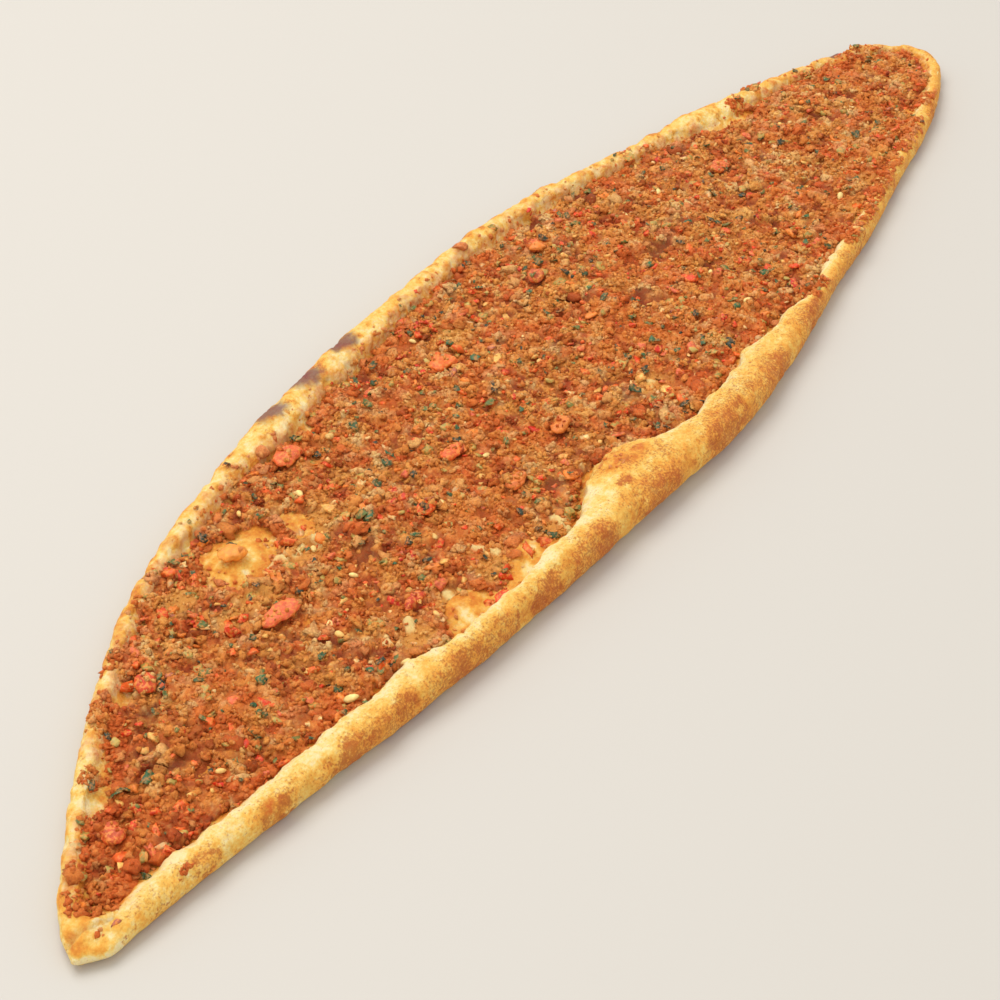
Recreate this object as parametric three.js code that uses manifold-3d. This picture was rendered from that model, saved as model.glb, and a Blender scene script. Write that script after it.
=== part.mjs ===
// A Turkish pide: a long boat of flatbread whose edges are folded up round a thin layer of spiced
// mince. Millimetres. X runs from the pointed tail to the blunt nose, Y across the boat towards the
// thin far rim, and Z up from the flat underside.
import * as THREE from "three";
import { mergeVertices } from "three/addons/utils/BufferGeometryUtils.js";
import Module from "manifold-3d";

const wasm = await Module();
wasm.setup();

// ---- Driving dimensions -------------------------------------------------------------------------

const HALF_LENGTH = 323; // of the boat, from its middle to either tip
const FLOOR = 4.5; // thickness of the baked base under the filling
const GAP = 0.35; // clear space between pieces that touch
const RIM_STATIONS = 120; // sections along the rim, once round the boat
const SECTION_STEPS = 9; // steps round the oval of one section
const LIP_ANGLE = 150; // degrees round the oval at which the folded dough ends in its lip
const SQUARENESS = 0.86; // below 1 an oval is fuller than an ellipse
const SPINE_INSET = 30; // the sections near a tip all face a point this far inside it
const SPINE_RISE = 2; // offset of the boat's middle line at its middle
const SPINE_DROP = 22; // how far the middle line bends to the near side at the tips

// Handles round the outer edge, from the tail along the far side to the nose and back along the near
// side: x, y, width of the folded rim, height of its crest, and the share of it that mince covers.
const EDGE = [
  [-323, -25, 17, 6.4, 0],
  [-314, -13, 9, 8, 0],
  [-297, 0, 8, 9, 0.2],
  [-247, 31, 9, 10, 0.25],
  [-197, 54.5, 8, 10, 0.25],
  [-147, 67, 9, 11, 0.1],
  [-97, 75, 14, 12, 0],
  [-47, 78.6, 14, 12.5, 0],
  [3, 78.6, 11, 12, 0],
  [53, 77.6, 10, 12, 0],
  [103, 70.5, 11, 12, 0.05],
  [153, 57, 10, 11.5, 0.1],
  [203, 47.5, 15, 11, 0],
  [253, 29.5, 9, 10.5, 0.1],
  [303, 9, 7, 10, 0.4],
  [318.5, -4, 7, 9.5, 0.3],
  [323, -19, 7, 9, 0.3],
  [317, -31, 7, 9, 0.3],
  [300, -40, 8, 9.5, 0.4],
  [252, -52, 9, 10, 0.5],
  [202, -58, 9, 10, 0.5],
  [152, -65, 9, 10.5, 0.5],
  [102, -69, 9, 11.5, 0.3],
  [66, -74, 13, 13, 0],
  [2, -78.4, 17, 14.5, 0],
  [-48, -74.2, 18, 15.5, 0],
  [-98, -68, 13, 15, 0],
  [-148, -61.5, 11, 14, 0],
  [-198, -53.5, 13, 12.5, 0],
  [-248, -43.5, 12, 11, 0],
  [-298, -34.5, 11, 9, 0],
  [-317, -31.5, 15, 7, 0],
];

// Places where the near rim is pressed wider over the filling, or pinched: x, reach, extra width.
const RIM_PRESSES = [
  [-58, 17, 13],
  [-80, 7, 3],
  [-182, 10, 4],
  [-162, 9, -3],
  [33, 8, 4],
  [86, 9, -4],
];

// Bubbles baked into the dough: x, y, z of the centre, then half length, half width and half height.
const BUBBLES = [
  [-90, 70, 8.5, 9, 5, 4],
  [-65, 72, 8.5, 9, 5, 4.6],
  [-40, 73, 8.5, 8, 5, 4.6],
  [-50, -52, 10, 11, 6, 4.4],
  [-160, 36, 4, 13, 9, 3.2],
  [-143, -40, 4, 13, 6, 3],
  [-109, -43, 4, 11, 6, 3],
  [216, 34, 6.5, 14, 5, 3.2],
  [292, 8, 7, 7, 4, 3],
];

// The dough of the tail is folded back over itself in a low ridge across the boat: x, y, z.
const TAIL_FOLD = [
  [-302, -28, 5.6],
  [-308, -25, 6.6],
  [-314, -22.5, 6.2],
  [-318.5, -23.5, 4.8],
  [-319.5, -27.5, 3.6],
];
const TAIL_FOLD_RADIUS = 2.5;

// Bare spots in the filling where the dough shows: x, y, half length, half width, turn in degrees.
const BARE_SPOTS = [
  [-160, 36, 18, 13, 20],
  [-134, 31, 5, 10, -15],
];

// Bays where the filling stops short of the rim: x, side (1 is far), reach along it and depth.
const FILLING_BAYS = [
  [-268, 1, 8, 8],
  [-232, 1, 7, 9],
  [-207, 1, 5, 6],
  [-88, 1, 9, 4],
  [214, 1, 16, 6],
  [226, -1, 7, 7],
  [192, -1, 5, 6],
  [60, -1, 8, 3],
  [-143, -1, 12, 15],
  [-109, -1, 11, 14],
];

// The filling: a sheet of crumbs with clumps, diced pepper, parsley and seeds stuck in it.
const MINCE_TOP = 8; // mean height of the mince above the underside
const CRUMB_PITCH = 6.6; // distance between crumb tops in the sheet
const CRUMB_RISE = 2.4; // how far the crumbs differ in height
const CRUMB_SHIFT = 1.6; // how far a crumb top strays from even spacing
const DRIFT = 0.7; // slow rise and fall of the sheet
const EDGE_STEP = 8; // distance between the corners of the filling's outline
const EDGE_WAVE = 1.6; // how far that outline strays
const CLUMPS = { count: 11, size: 6, spacing: 16 };
const DICE = { count: 16, size: 5.5, spacing: 14 };
const PARSLEY = { count: 22, size: 8, spacing: 13 };
const SEEDS = { count: 13, size: 3.8, spacing: 12 };

// Tongues of mince that lie over the rim: x and side. Each has this half length, width and height.
const SPILLS = [[-245, 1], [-224, 1], [-199, 1], [178, -1], [207, -1], [243, -1], [300, 1]];
const SPILL_SIZE = [7.5, 5, 3.4];

// Pieces of tomato and pepper as large as berries: x, y, length, width, thickness, turn in degrees.
const LARGE_PIECES = [
  ["tomato", -177.5, 7, 19, 8.5, 3.4, -6],
  ["tomato", -106, 54, 14, 10, 3.6, 10],
  ["tomato", -28, 37, 13, 9, 3.4, -20],
  ["pepper", -107, -4.5, 10, 7, 3.2, 5],
  ["pepper", -40, -21, 13, 7, 3.2, 15],
  ["pepper", -78, -24, 13, 6.5, 3.6, 3],
  ["pepper", -152, -28, 13, 5, 3, 5],
  ["tomato", -282, -7, 11, 8, 3.4, 70],
  ["tomato", 67, 48, 12, 9, 3.2, -10],
  ["tomato", 167, 13, 14, 9, 3.2, 5],
  ["pepper", 45, 37, 11, 7, 3.2, 25],
  ["pepper", -162, 37, 11, 9, 3.4, -30],
  ["tomato", -226, 24, 12, 8, 3.4, 50],
  ["tomato", -74, 4, 13, 7, 3.2, -19],
];

const COLOURS = {
  crust: 0xd9a657,
  mince: 0xa8502a,
  tomato: 0xc9432b,
  pepper: 0xd1401f,
};

// ---- Small tools --------------------------------------------------------------------------------

// A seeded stream of numbers from 0 to 1, the same on every run.
function seeded(seed) {
  let state = seed;
  return () => {
    state = (state + 0x6d2b79f5) | 0;
    let mixed = Math.imul(state ^ (state >>> 15), 1 | state);
    mixed = (mixed + Math.imul(mixed ^ (mixed >>> 7), 61 | mixed)) ^ mixed;
    return ((mixed ^ (mixed >>> 14)) >>> 0) / 4294967296;
  };
}

function between(draw, low, high) {
  return low + (high - low) * draw();
}

function radians(degrees) {
  return THREE.MathUtils.degToRad(degrees);
}

function fuller(value, power) {
  return Math.sign(value) * Math.pow(Math.abs(value), power);
}

// The geometry with only its positions, each shared by the faces that meet there.
function welded(geometry) {
  const plain = geometry.index ? geometry.toNonIndexed() : geometry.clone();
  plain.deleteAttribute("normal");
  plain.deleteAttribute("uv");
  return mergeVertices(plain, 1e-4);
}

function solidOf(geometry) {
  const shared = welded(geometry);
  const corners = shared.index.array;
  const triangles = [];
  for (let i = 0; i < corners.length; i += 3) {
    const [a, b, c] = [corners[i], corners[i + 1], corners[i + 2]];
    if (a !== b && b !== c && c !== a) triangles.push(a, b, c);
  }
  return new wasm.Manifold(new wasm.Mesh({
    numProp: 3,
    vertProperties: new Float32Array(shared.attributes.position.array),
    triVerts: new Uint32Array(triangles),
  }));
}

function geometryOf(solid) {
  const mesh = solid.getMesh();
  const geometry = new THREE.BufferGeometry();
  geometry.setAttribute("position", new THREE.BufferAttribute(mesh.vertProperties, 3));
  geometry.setIndex(new THREE.BufferAttribute(mesh.triVerts, 1));
  geometry.computeVertexNormals();
  return geometry;
}

// The main body of a solid, without the loose scraps that cutting may leave.
function mainBody(solid) {
  return solid.decompose().reduce((best, body) => (body.volume() > best.volume() ? body : best));
}

// A closed mesh from rings of points, clockwise seen from above and all of the same count, with a
// flat lid on the first ring, facing down, and on the last, facing up.
function ringSolid(rings) {
  const count = rings[0].length;
  const faces = [];
  for (let r = 0; r + 1 < rings.length; r += 1) {
    for (let i = 0; i < count; i += 1) {
      const j = (i + 1) % count;
      const [low, high] = [r * count, (r + 1) * count];
      faces.push(low + i, high + j, low + j, low + i, high + i, high + j);
    }
  }
  for (const [a, b, c] of lidOf(rings[0])) faces.push(a, c, b);
  const last = (rings.length - 1) * count;
  for (const [a, b, c] of lidOf(rings.at(-1))) faces.push(last + a, last + b, last + c);
  const geometry = new THREE.BufferGeometry().setFromPoints(rings.flat());
  geometry.setIndex(faces);
  return geometry;
}

function lidOf(ring) {
  return THREE.ShapeUtils.triangulateShape(ring.map((p) => new THREE.Vector2(p.x, p.y)), []);
}

// ---- The boat's outline and rim -----------------------------------------------------------------

const outerEdge = new THREE.CatmullRomCurve3(
  EDGE.map(([x, y]) => new THREE.Vector3(x, y, 0)),
  true,
  "centripetal",
);
const rimSizes = new THREE.CatmullRomCurve3(
  EDGE.map(([, , width, height, cover]) => new THREE.Vector3(width, height, cover)),
  true,
  "centripetal",
);
outerEdge.arcLengthDivisions = 1200;

function spineY(x) {
  return SPINE_RISE - SPINE_DROP * Math.pow(Math.abs(x) / HALF_LENGTH, 3);
}

// The sum of the swellings of a list of [middle, reach, amount] at x.
function swellings(x, list) {
  return list.reduce((sum, [middle, reach, amount]) => (
    sum + amount * Math.exp(-Math.pow((x - middle) / reach, 2))), 0);
}

// One place on the outer edge: its point, the level direction inwards and the sizes of the rim.
function rimStation(share) {
  const t = outerEdge.getUtoTmapping(share);
  const point = outerEdge.getPoint(t);
  const sizes = rimSizes.getPoint(t);
  const x = THREE.MathUtils.clamp(point.x, SPINE_INSET - HALF_LENGTH, HALF_LENGTH - SPINE_INSET);
  const side = point.y < spineY(point.x) ? -1 : 1;
  const turn = share * Math.PI * 2;
  const puff = Math.sin(turn * 23) + 0.7 * Math.sin(turn * 37 + 1.3) + 0.5 * Math.sin(turn * 61 + 0.4);
  return {
    point,
    side,
    inward: new THREE.Vector3(x, spineY(x), 0).sub(point).normalize(),
    width: sizes.x * (1 + 0.035 * puff) + (side < 0 ? swellings(point.x, RIM_PRESSES) : 0),
    height: sizes.y * (1 + 0.022 * puff),
    cover: Math.max(0, sizes.z),
  };
}

function stationsRound(count) {
  return Array.from({ length: count }, (_, i) => rimStation(i / count));
}

function atInset(station, inset, z) {
  return station.point.clone().addScaledVector(station.inward, inset).setZ(z);
}

// ---- The crust ----------------------------------------------------------------------------------

const rimStations = stationsRound(RIM_STATIONS);

// One ring of the rim, at an angle round its oval section: -90 is underneath and 90 is the crest.
function rimRing(angle, grow) {
  return rimStations.map((station) => {
    const [halfWidth, halfHeight] = [station.width / 2, station.height / 2];
    const inset = halfWidth - (halfWidth + grow) * fuller(Math.cos(angle), SQUARENESS);
    const z = halfHeight + (halfHeight + grow) * fuller(Math.sin(angle), SQUARENESS);
    return atInset(station, inset, z);
  });
}

// The dough, grown on all sides by a clearance: the rim is swept from its underside over the crest
// to the lip, then drops down its inner face to the floor.
function doughBody(grow) {
  const rings = [];
  for (let step = 0; step <= SECTION_STEPS; step += 1) {
    rings.push(rimRing(radians(-90 + ((90 + LIP_ANGLE) * step) / SECTION_STEPS), grow));
  }
  rings.push(rimStations.map((station) => atInset(station, station.width + grow, FLOOR + grow)));
  const bubbles = BUBBLES.map(([x, y, z, length, width, height]) => (
    solidOf(ovalLump([x, y, z], [length + grow, width + grow, height + grow], 8, 5))));
  return wasm.Manifold.union([solidOf(ringSolid(rings)), tailFold(grow), ...bubbles]);
}

function ovalLump([x, y, z], [halfLength, halfWidth, halfHeight], sides, rows) {
  const lump = new THREE.SphereGeometry(1, sides, rows);
  lump.rotateX(Math.PI / 2);
  lump.scale(halfLength, halfWidth, halfHeight);
  lump.translate(x, y, z);
  return lump;
}

function tailFold(grow) {
  const route = new THREE.CatmullRomCurve3(TAIL_FOLD.map((p) => new THREE.Vector3(...p)));
  const round = new THREE.Shape();
  round.absarc(0, 0, TAIL_FOLD_RADIUS + grow, 0, Math.PI * 2);
  const fold = new THREE.ExtrudeGeometry(round, {
    extrudePath: route,
    steps: 7,
    curveSegments: 4,
    bevelEnabled: false,
  });
  return solidOf(fold);
}

// ---- The filling's sheet of crumbs --------------------------------------------------------------

// Slow rise and fall of the filling about its mean height.
function drift(x, y) {
  return DRIFT * (Math.sin(x / 19 + 1) * Math.sin(y / 11 + 2) + 0.6 * Math.sin(x / 8.3 - y / 7.1));
}

// A staggered lattice of crumb tops over the whole boat, closed below inside the dough.
function crumbLattice() {
  const draw = seeded(11);
  const rowPitch = CRUMB_PITCH * 0.87;
  const columns = Math.ceil((2 * HALF_LENGTH + 10) / CRUMB_PITCH);
  const rows = 38;
  const sheet = new THREE.PlaneGeometry(columns * CRUMB_PITCH, rows * rowPitch, columns, rows);
  const top = sheet.attributes.position;
  for (let i = 0; i < top.count; i += 1) {
    const row = Math.floor(i / (columns + 1));
    const x = top.getX(i) + (row % 2) * 0.5 * CRUMB_PITCH + between(draw, -CRUMB_SHIFT, CRUMB_SHIFT);
    const y = top.getY(i) + between(draw, -CRUMB_SHIFT, CRUMB_SHIFT);
    top.setXYZ(i, x, y, MINCE_TOP + drift(x, y) + CRUMB_RISE * (draw() - 0.5));
  }
  return slabUnder(sheet, columns, rows);
}

// Closes a sheet by a copy of it, laid level inside the dough, and by walls round the border.
function slabUnder(sheet, columns, rows) {
  const top = sheet.attributes.position;
  const points = [];
  for (let i = 0; i < top.count; i += 1) points.push(new THREE.Vector3().fromBufferAttribute(top, i));
  for (let i = 0; i < top.count; i += 1) points.push(points[i].clone().setZ(FLOOR / 2));
  const faces = [...sheet.index.array];
  for (let i = 0; i < sheet.index.count; i += 3) {
    const [a, b, c] = sheet.index.array.slice(i, i + 3);
    faces.push(top.count + a, top.count + c, top.count + b);
  }
  const across = columns + 1;
  const border = [];
  for (let i = 0; i < columns; i += 1) border.push(i);
  for (let i = 0; i < rows; i += 1) border.push(i * across + columns);
  for (let i = columns; i > 0; i -= 1) border.push(rows * across + i);
  for (let i = rows; i > 0; i -= 1) border.push(i * across);
  border.forEach((a, i) => {
    const b = border[(i + 1) % border.length];
    faces.push(a, b, top.count + b, a, top.count + b, top.count + a);
  });
  const slab = new THREE.BufferGeometry().setFromPoints(points);
  slab.setIndex(faces);
  return solidOf(slab);
}

// The filling's uneven outline, seen from above.
function fillingOutline() {
  const draw = seeded(5);
  const count = Math.round(outerEdge.getLength() / EDGE_STEP);
  return stationsRound(count).map((station) => {
    const bays = FILLING_BAYS.filter(([, side]) => side === station.side);
    const bay = swellings(station.point.x, bays.map(([x, , reach, depth]) => [x, reach, depth]));
    const stray = between(draw, -0.4 * EDGE_WAVE, EDGE_WAVE);
    const point = atInset(station, station.width * (1 - station.cover) + bay + stray, 0);
    return new THREE.Vector2(point.x, point.y);
  });
}

function spotOutline([x, y, halfLength, halfWidth, turn]) {
  const draw = seeded(Math.round(100 + x));
  return Array.from({ length: 12 }, (_, i) => {
    const angle = (i / 12) * Math.PI * 2;
    const stray = between(draw, 0.82, 1.12);
    const corner = new THREE.Vector2(halfLength * Math.cos(angle), halfWidth * Math.sin(angle));
    return corner.multiplyScalar(stray).rotateAround(new THREE.Vector2(), radians(turn)).add({ x, y });
  });
}

function column(outline) {
  return solidOf(new THREE.ExtrudeGeometry(new THREE.Shape(outline), { depth: 40, bevelEnabled: false }));
}

// ---- Pieces in the filling ----------------------------------------------------------------------

const edgeOfFilling = fillingOutline();
const bareOutlines = BARE_SPOTS.map(spotOutline);

function isInside(outline, x, y) {
  let inside = false;
  outline.forEach((a, i) => {
    const b = outline[(i + 1) % outline.length];
    if (a.y > y !== b.y > y && x < a.x + ((y - a.y) / (b.y - a.y)) * (b.x - a.x)) inside = !inside;
  });
  return inside;
}

function outlineDistance(outline, x, y) {
  const here = new THREE.Vector3(x, y, 0);
  const nearest = new THREE.Vector3();
  return Math.min(...outline.map((a, i) => {
    const b = outline[(i + 1) % outline.length];
    const side = new THREE.Line3(new THREE.Vector3(a.x, a.y, 0), new THREE.Vector3(b.x, b.y, 0));
    return side.closestPointToPoint(here, true, nearest).distanceTo(here);
  }));
}

// Whether a piece of this reach lies wholly on the filling and clear of the large pieces.
function isFree(x, y, reach) {
  if (!isInside(edgeOfFilling, x, y) || outlineDistance(edgeOfFilling, x, y) < reach + 2) return false;
  if (bareOutlines.some((o) => isInside(o, x, y) || outlineDistance(o, x, y) < reach + 1)) return false;
  return LARGE_PIECES.every(([, px, py, length]) => Math.hypot(px - x, py - y) > length / 2 + reach + 1);
}

const placed = [];

// Places for one kind of small piece, drawn evenly over the filling and apart from all others.
function places({ count, size, spacing }, draw) {
  const found = [];
  for (let tries = 0; found.length < count && tries < 20000; tries += 1) {
    const x = between(draw, -HALF_LENGTH, HALF_LENGTH);
    const y = between(draw, -80, 80);
    const apart = placed.every((p) => Math.hypot(p.x - x, p.y - y) > spacing);
    if (apart && isFree(x, y, size / 2)) {
      const place = { x, y, z: MINCE_TOP + drift(x, y) };
      found.push(place);
      placed.push(place);
    }
  }
  return found;
}

function setDown(geometry, { x, y, z }, [tiltX, tiltY, turn]) {
  geometry.rotateX(tiltX).rotateY(tiltY).rotateZ(turn).translate(x, y, z);
  return solidOf(geometry);
}

function anyTilt(draw, most) {
  return [between(draw, -most, most), between(draw, -most, most), between(draw, 0, Math.PI * 2)];
}

function clump(size, draw) {
  const lump = welded(new THREE.IcosahedronGeometry(size / 2, 0));
  const corners = lump.attributes.position;
  for (let i = 0; i < corners.count; i += 1) {
    const stretch = between(draw, 0.9, 1.4);
    corners.setXYZ(i, corners.getX(i) * stretch, corners.getY(i) * stretch, corners.getZ(i) * stretch);
  }
  return lump;
}

function dice(size, draw) {
  const [length, width] = [between(draw, 0.8, 1.2), between(draw, 0.5, 0.8)];
  return new THREE.BoxGeometry(size * length, size * width, size * 0.42);
}

function seed(size) {
  return ovalLump([0, 0, 0], [size / 2, size * 0.4, size * 0.22], 6, 4);
}

// A chopped parsley leaf: a thin wavy piece, its two faces divided alike.
function leaf(size, draw) {
  const thickness = 1;
  const outline = [[-1, 0], [-0.45, 0.5], [0.35, 0.62], [1, 0.1], [0.4, -0.5], [-0.5, -0.56]];
  const over = outline.map(([u, v]) => new THREE.Vector3(
    (u * size) / 2,
    (v * size) / 2,
    between(draw, -0.35, 0.35),
  ));
  const under = over.map((point) => point.clone().setZ(point.z - thickness));
  return ringSolid([under, over]);
}

// A tongue of mince laid across the rim, over its lip and crest.
function spill([x, side]) {
  const along = stationsRound(400).filter((station) => station.side === side);
  const station = along.reduce((best, one) => (
    Math.abs(one.point.x - x) < Math.abs(best.point.x - x) ? one : best));
  const place = atInset(station, station.width * 0.85, station.height * 0.8);
  const turn = Math.atan2(station.inward.y, station.inward.x);
  const lump = ovalLump([0, 0, 0], SPILL_SIZE, 7, 4).rotateZ(turn).translate(place.x, place.y, place.z);
  return solidOf(lump);
}

function smallPieces() {
  const draw = seeded(29);
  const clumps = places(CLUMPS, draw).map((place) => (
    setDown(clump(CLUMPS.size * between(draw, 0.8, 1.25), draw), place, anyTilt(draw, 3))));
  const diced = places(DICE, draw).map((place) => (
    setDown(dice(DICE.size, draw), place, anyTilt(draw, 0.35))));
  const leaves = places(PARSLEY, draw).map((place) => (
    setDown(leaf(PARSLEY.size * between(draw, 0.7, 1.15), draw), place, anyTilt(draw, 0.2))));
  const seeds = places(SEEDS, draw).map((place) => (
    setDown(seed(SEEDS.size), place, anyTilt(draw, 0.25))));
  return [...clumps, ...diced, ...leaves, ...seeds, ...SPILLS.map(spill)];
}

// A piece of tomato or pepper, cut square and baked soft, grown on all sides by a clearance.
function largePiece([, x, y, length, width, thickness, turn], grow) {
  const draw = seeded(Math.round(1000 + x));
  const piece = welded(new THREE.SphereGeometry(1, 8, 4).rotateX(Math.PI / 2));
  const corners = piece.attributes.position;
  for (let i = 0; i < corners.count; i += 1) {
    const stray = between(draw, 0.86, 1.06);
    corners.setXYZ(
      i,
      fuller(corners.getX(i), 0.8) * stray * (length / 2 + grow),
      fuller(corners.getY(i), 0.8) * stray * (width / 2 + grow),
      fuller(corners.getZ(i), 0.6) * (thickness / 2 + grow),
    );
  }
  return solidOf(piece.rotateZ(radians(turn)).translate(x, y, seatOf(x, y, length) + thickness * 0.5));
}

// The height of a large piece's underside: part sunk in the mince, or on a bubble in a bare spot.
function seatOf(x, y, length) {
  const sunk = MINCE_TOP - 1.7;
  const bubbles = BUBBLES.filter(([bx, by, , reach]) => (
    Math.hypot(bx - x, by - y) < reach + length / 2));
  return Math.max(sunk, ...bubbles.map(([, , z, , , height]) => z + height + 2 * GAP));
}

// ---- The object ---------------------------------------------------------------------------------

function filling() {
  const sheet = crumbLattice().intersect(column(edgeOfFilling));
  const whole = wasm.Manifold.union([sheet, ...smallPieces()]);
  const seats = LARGE_PIECES.map((piece) => largePiece(piece, GAP));
  const cuts = [doughBody(GAP), ...bareOutlines.map(column), ...seats];
  return mainBody(whole.subtract(wasm.Manifold.union(cuts)));
}

function named(name, solid, color, roughness) {
  const mesh = new THREE.Mesh(geometryOf(solid), new THREE.MeshStandardMaterial({ color, roughness }));
  mesh.name = name;
  return mesh;
}

const pide = new THREE.Group();
pide.add(named("crust", doughBody(0), COLOURS.crust, 0.7));
pide.add(named("mince_filling", filling(), COLOURS.mince, 0.55));
for (const kind of ["tomato", "pepper"]) {
  LARGE_PIECES.filter((piece) => piece[0] === kind).forEach((piece, i) => {
    pide.add(named(`${kind}_piece_${i + 1}`, largePiece(piece, 0), COLOURS[kind], 0.35));
  });
}

export default pide;
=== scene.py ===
# A Turkish pide about as long as an arm: baked dough rolled up round a thin layer of spiced mince
# with chopped tomato, red and green pepper, onion and parsley.
import math

import bmesh
import bpy
import numpy as np
from mathutils import Euler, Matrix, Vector, noise
from mathutils.bvhtree import BVHTree


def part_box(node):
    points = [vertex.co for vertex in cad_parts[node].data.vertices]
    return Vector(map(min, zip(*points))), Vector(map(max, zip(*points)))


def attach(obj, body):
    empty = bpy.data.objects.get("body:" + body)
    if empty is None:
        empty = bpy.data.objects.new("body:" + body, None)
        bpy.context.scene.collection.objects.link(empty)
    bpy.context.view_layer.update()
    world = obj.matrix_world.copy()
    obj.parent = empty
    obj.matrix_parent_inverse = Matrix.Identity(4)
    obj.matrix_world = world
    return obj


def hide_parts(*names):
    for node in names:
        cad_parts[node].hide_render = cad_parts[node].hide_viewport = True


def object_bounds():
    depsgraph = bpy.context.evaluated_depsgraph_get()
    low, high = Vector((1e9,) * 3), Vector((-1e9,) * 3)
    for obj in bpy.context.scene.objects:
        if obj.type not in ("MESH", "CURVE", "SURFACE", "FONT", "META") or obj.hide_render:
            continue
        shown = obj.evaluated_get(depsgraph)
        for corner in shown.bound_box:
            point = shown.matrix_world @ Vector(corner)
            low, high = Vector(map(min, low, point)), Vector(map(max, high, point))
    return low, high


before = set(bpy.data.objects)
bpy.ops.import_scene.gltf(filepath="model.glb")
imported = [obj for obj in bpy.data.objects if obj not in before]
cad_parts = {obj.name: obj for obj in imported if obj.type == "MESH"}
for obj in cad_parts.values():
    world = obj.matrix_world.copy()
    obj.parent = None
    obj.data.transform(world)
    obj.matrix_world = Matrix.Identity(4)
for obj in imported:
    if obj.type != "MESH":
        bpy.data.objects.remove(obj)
cad_low, cad_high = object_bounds()

# ---- Table, daylight and camera ------------------------------------------------------------------
# A pale level table top, soft daylight from a wide window behind and to the far side, and a weaker
# reflector near the tail. The camera stands over the tail and looks along the boat.
TABLE_HALF = 4  # half the length of the table's sides
EYE = (-0.5857, -0.3104, 0.4443)  # where the camera stands
VIEW_TURN = math.radians(30)  # of the camera's heading from the boat's long axis
VIEW_DIP = math.radians(37.35)
LENS, SENSOR_WIDTH = 75, 36  # millimetres


def colour(red, green, blue):
    """A paint colour of 0 to 255 as the light it reflects, with full opacity."""
    return tuple(((c / 255 + 0.055) / 1.055) ** 2.4 for c in (red, green, blue)) + (1.0,)


def material_of(name, roughness):
    """A new material, its nodes and the node of its surface."""
    material = bpy.data.materials.new(name)
    material.use_nodes = True
    surface = material.node_tree.nodes["Principled BSDF"]
    surface.inputs["Roughness"].default_value = roughness
    return material, material.node_tree, surface


def linked(name, mesh, material):
    """A finished mesh as an object at the origin, smooth shaded."""
    mesh.materials.append(material)
    mesh.shade_smooth()
    made = bpy.data.objects.new(name, mesh)
    bpy.context.scene.collection.objects.link(made)
    return made


def placed(name, shape, material):
    """A finished bmesh as an object at the origin, smooth shaded."""
    mesh = bpy.data.meshes.new(name)
    shape.to_mesh(mesh)
    shape.free()
    return linked(name, mesh, material)


def window(name, place, width, height, power, tint):
    """A flat light that faces the boat's middle."""
    light = bpy.data.lights.new(name, "AREA")
    light.shape = "RECTANGLE"
    light.size = width
    light.size_y = height
    light.energy = power
    light.color = tint
    lamp = bpy.data.objects.new(name, light)
    lamp.location = place
    lamp.rotation_euler = (-Vector(place)).to_track_quat("-Z", "Y").to_euler()
    bpy.context.scene.collection.objects.link(lamp)


table_paint, _, surface = material_of("table_paint", 0.6)
surface.inputs["Base Color"].default_value = colour(200, 196, 189)
shape = bmesh.new()
bmesh.ops.create_grid(shape, x_segments=1, y_segments=1, size=TABLE_HALF)
placed("table", shape, table_paint)

window("daylight", (0.1, 0.75, 1.7), width=1.6, height=1.2, power=22, tint=(1.0, 0.97, 0.93))
window("reflector", (-1.6, -0.9, 1.1), width=1.4, height=1.0, power=5, tint=(1.0, 0.96, 0.9))
sky = bpy.data.worlds.new("room")
bpy.context.scene.world = sky
sky.use_nodes = True
sky.node_tree.nodes["Background"].inputs["Color"].default_value = (1.0, 0.98, 0.95, 1.0)
sky.node_tree.nodes["Background"].inputs["Strength"].default_value = 0.85

eye = bpy.data.objects.new("camera", bpy.data.cameras.new("camera"))
eye.location = EYE
heading = Vector((
    math.cos(VIEW_TURN) * math.cos(VIEW_DIP),
    math.sin(VIEW_TURN) * math.cos(VIEW_DIP),
    -math.sin(VIEW_DIP),
))
eye.rotation_euler = heading.to_track_quat("-Z", "Y").to_euler()
eye.data.lens = LENS
eye.data.sensor_width = SENSOR_WIDTH
bpy.context.scene.collection.objects.link(eye)
bpy.context.scene.camera = eye
bpy.context.scene.view_settings.view_transform = "Standard"

# ---- The baked dough -----------------------------------------------------------------------------
# One sheet of leavened dough, rolled up by hand along both long edges and folded to a point at the
# tail. Baked on the oven floor: pale where it was folded in, golden on top, freckled brown outside.
MM = 0.001
HALF_LENGTH = 0.323  # of the boat
ROUND_END = 0.03  # how far inside the boat's ends its middle line stops
SPINE_MIDDLE, SPINE_BEND = 2, 22  # mm, of the middle line to the far side and back at both ends
TAIL = (0.20, 0.27)  # distances from the middle between which the tail's paler dough sets in
NOSE = (0.15, 0.24)  # the same for the nose, which is baked a little harder
DOUGH_GRAIN = 1.4 * MM  # spacing of the dough's own mesh
CORNER_GAP = 1e-5  # corners of the solid's triangles nearer than this are one point
BASE_TOP = 6 * MM  # lower than this the dough is its base, higher it is a roll
FOOT = (0.4 * MM, 2.5 * MM)  # heights between which the flat underside gives way to the swells
CREST = (13.5 * MM, 15.6 * MM)  # heights between which the swells die away on top of the rolls
BLISTERS = [  # scorched bubbles on the far edge and the nose: x, y, half length
    (-0.0905, 0.0719, 0.0085),
    (-0.0651, 0.0731, 0.0085),
    (-0.0399, 0.0742, 0.0080),
    (0.2925, 0.0112, 0.0045),
]
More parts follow.
